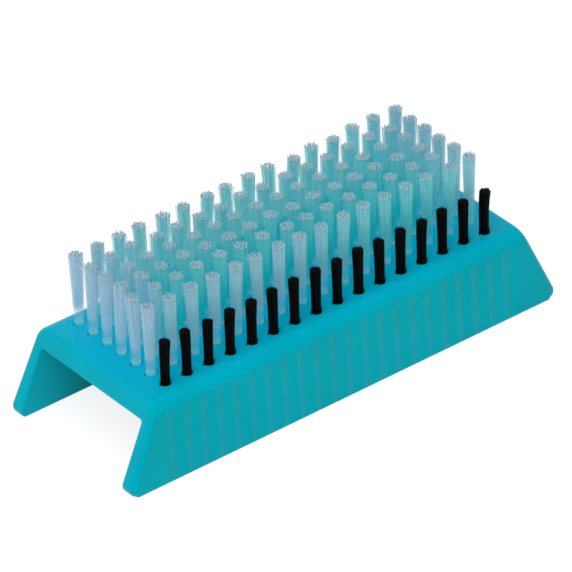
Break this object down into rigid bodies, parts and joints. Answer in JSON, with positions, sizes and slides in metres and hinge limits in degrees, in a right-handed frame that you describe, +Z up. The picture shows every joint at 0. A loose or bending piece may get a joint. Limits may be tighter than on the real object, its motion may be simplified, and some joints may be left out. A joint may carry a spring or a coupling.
{
  "type": "nail brush",
  "caption": "Flat channel-shaped nail brush: moulded handle with fluted legs and slanted ends, tall pale bristle tufts and a front row of short black tufts.",
  "frame": {"origin": "midway between the two feet, on the surface that the brush stands on", "axes": "+X along the handle, +Z up towards the bristle tips, -Y towards the front row of black tufts"},
  "size_m": [0.1, 0.0372, 0.0322],
  "materials": {
    "handle_plastic": "glossy turquoise moulded plastic",
    "pale_bristle": "translucent pale nylon filament with cut tips",
    "black_bristle": "black nylon filament with cut tips",
    "anchor_wire": "bright flat stainless wire"
  },
  "bodies": {
    "root": {"handle_body": "handle_plastic", "black_tuft_01": "black_bristle", "black_tuft_02": "black_bristle", "black_tuft_03": "black_bristle", "black_tuft_04": "black_bristle", "black_tuft_05": "black_bristle", "black_tuft_06": "black_bristle", "black_tuft_07": "black_bristle", "black_tuft_08": "black_bristle", "black_tuft_09": "black_bristle", "black_tuft_10": "black_bristle", "black_tuft_11": "black_bristle", "black_tuft_12": "black_bristle", "black_tuft_13": "black_bristle", "black_tuft_14": "black_bristle", "black_tuft_15": "black_bristle", "black_tuft_16": "black_bristle", "black_row_anchors": "anchor_wire", "pale_tuft_row_1": "pale_bristle", "pale_row_1_anchors": "anchor_wire", "pale_tuft_row_2": "pale_bristle", "pale_row_2_anchors": "anchor_wire", "pale_tuft_row_3": "pale_bristle", "pale_row_3_anchors": "anchor_wire", "pale_tuft_row_4": "pale_bristle", "pale_row_4_anchors": "anchor_wire", "pale_tuft_row_5": "pale_bristle", "pale_row_5_anchors": "anchor_wire", "pale_tuft_row_6": "pale_bristle", "pale_row_6_anchors": "anchor_wire"}
  },
  "joints": []
}
